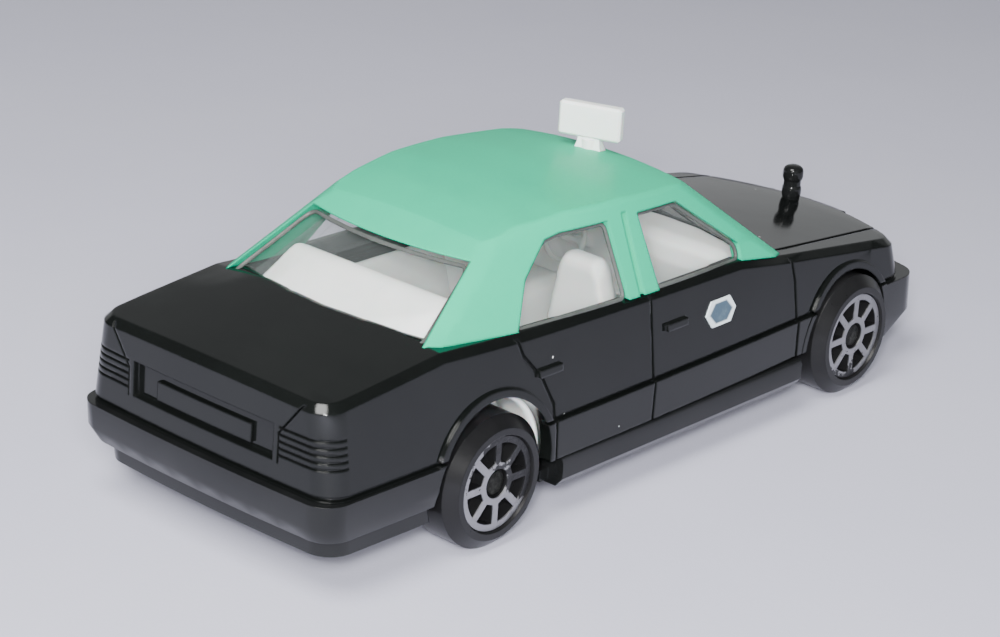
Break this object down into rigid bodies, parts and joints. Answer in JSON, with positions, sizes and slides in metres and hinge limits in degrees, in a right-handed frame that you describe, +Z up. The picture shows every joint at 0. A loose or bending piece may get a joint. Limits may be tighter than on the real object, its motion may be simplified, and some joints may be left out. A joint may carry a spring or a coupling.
{
  "type": "toy taxi car",
  "caption": "Pocket-size die-cast toy taxi saloon in black and mint green, with clear windows, a white interior, a roof sign and free-rolling spoked wheels.",
  "frame": {"origin": "on the ground, under the middle of the car's length and width", "axes": "+X towards the front bumper, +Y to the car's left, +Z up"},
  "size_m": [0.0786, 0.0286, 0.0272],
  "materials": {
    "black_paint": "gloss enamel",
    "green_paint": "satin enamel",
    "clear_glazing": "clear moulded",
    "white_plastic": "moulded satin",
    "black_plastic": "moulded gloss",
    "wheel_plastic": "moulded satin",
    "silver_foil": "worn hot-stamped foil",
    "axle_steel": "bright drawn wire",
    "white_print": "printed"
  },
  "bodies": {
    "car": {"body_casting": "black_paint", "roof_casting": "green_paint", "glazing": "clear_glazing", "interior": "white_plastic", "base_plate": "black_plastic", "rear_bumper": "black_plastic", "front_bumper": "black_plastic", "rear_axle": "axle_steel", "front_axle": "axle_steel", "roof_sign": "white_plastic", "bonnet_ornament": "black_plastic", "rear_plate": "black_paint", "badge_left": "white_print", "badge_right": "white_print"},
    "rear_left_wheel": {"wheel_rear_left": "wheel_plastic", "rim_face_rear_left": "silver_foil"},
    "rear_right_wheel": {"wheel_rear_right": "wheel_plastic", "rim_face_rear_right": "silver_foil"},
    "front_left_wheel": {"wheel_front_left": "wheel_plastic", "rim_face_front_left": "silver_foil"},
    "front_right_wheel": {"wheel_front_right": "wheel_plastic", "rim_face_front_right": "silver_foil"}
  },
  "joints": [
    {"name": "rear_left_roll", "type": "hinge", "parent": "car", "child": "rear_left_wheel", "pos_m": [-0.0211, 0.012, 0.00542], "axis": [0, 1, 0], "continuous": true},
    {"name": "rear_right_roll", "type": "hinge", "parent": "car", "child": "rear_right_wheel", "pos_m": [-0.0211, -0.012, 0.00542], "axis": [0, 1, 0], "continuous": true},
    {"name": "front_left_roll", "type": "hinge", "parent": "car", "child": "front_left_wheel", "pos_m": [0.0256, 0.012, 0.00542], "axis": [0, 1, 0], "continuous": true},
    {"name": "front_right_roll", "type": "hinge", "parent": "car", "child": "front_right_wheel", "pos_m": [0.0256, -0.012, 0.00542], "axis": [0, 1, 0], "continuous": true}
  ]
}
